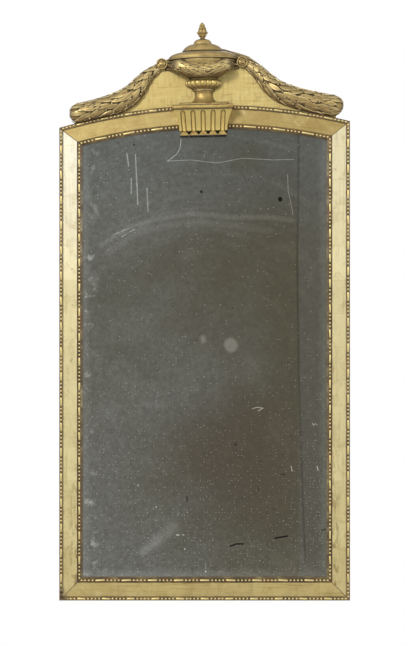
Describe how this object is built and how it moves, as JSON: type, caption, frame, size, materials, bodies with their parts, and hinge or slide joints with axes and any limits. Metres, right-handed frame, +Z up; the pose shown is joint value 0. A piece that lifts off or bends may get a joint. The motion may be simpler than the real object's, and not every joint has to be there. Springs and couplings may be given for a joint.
{
  "type": "pier mirror",
  "caption": "Tall arched giltwood wall mirror with bead-and-bar strings and a carved crest of an urn between laurel garlands.",
  "frame": {"origin": "middle of the bottom edge of the bottom rail's back face, on the wall plane", "axes": "+Y points into the wall and the mirror faces -Y; +Z is up along the mirror's longest side; +X is to the right seen from the front"},
  "size_m": [0.66, 0.0786, 1.3118],
  "materials": {
    "burnished_gilding": "water-gilt and burnished over red bole, worn, with the leaf laps showing",
    "carved_gilding": "matt gilding on carved wood, brown in the hollows",
    "mirror_plate": "old grey mirror glass with specks and scratches",
    "foil": "dull tin foil with mercury bloom",
    "old_pine": "bare old pine, darkened",
    "forged_iron": "hand-forged, rust-brown"
  },
  "bodies": {
    "root": {"left_stile": "burnished_gilding", "right_stile": "burnished_gilding", "bottom_rail": "burnished_gilding", "top_rail": "burnished_gilding", "corner_keys": "old_pine", "outer_bead_left": "carved_gilding", "outer_bead_right": "carved_gilding", "outer_bead_bottom": "carved_gilding", "outer_bead_top": "carved_gilding", "sight_bead_left": "carved_gilding", "sight_bead_right": "carved_gilding", "sight_bead_bottom": "carved_gilding", "sight_bead_top": "carved_gilding", "mirror_glass": "mirror_plate", "tin_foil": "foil", "glazing_blocks": "old_pine", "backboard_lower": "old_pine", "backboard_middle": "old_pine", "backboard_upper": "old_pine", "backboard_nails": "forged_iron", "crest_board": "burnished_gilding", "crest_battens": "old_pine", "batten_screws": "forged_iron", "left_garland": "carved_gilding", "right_garland": "carved_gilding", "centre_swag": "carved_gilding", "left_ring": "carved_gilding", "right_ring": "carved_gilding", "finial": "carved_gilding", "urn_lid": "carved_gilding", "urn_bowl": "carved_gilding", "gadroon_cup": "carved_gilding", "urn_foot": "carved_gilding", "plinth": "carved_gilding", "keystone": "carved_gilding", "guttae": "carved_gilding", "left_hanger": "forged_iron", "right_hanger": "forged_iron", "hanger_screws": "forged_iron"}
  },
  "joints": []
}
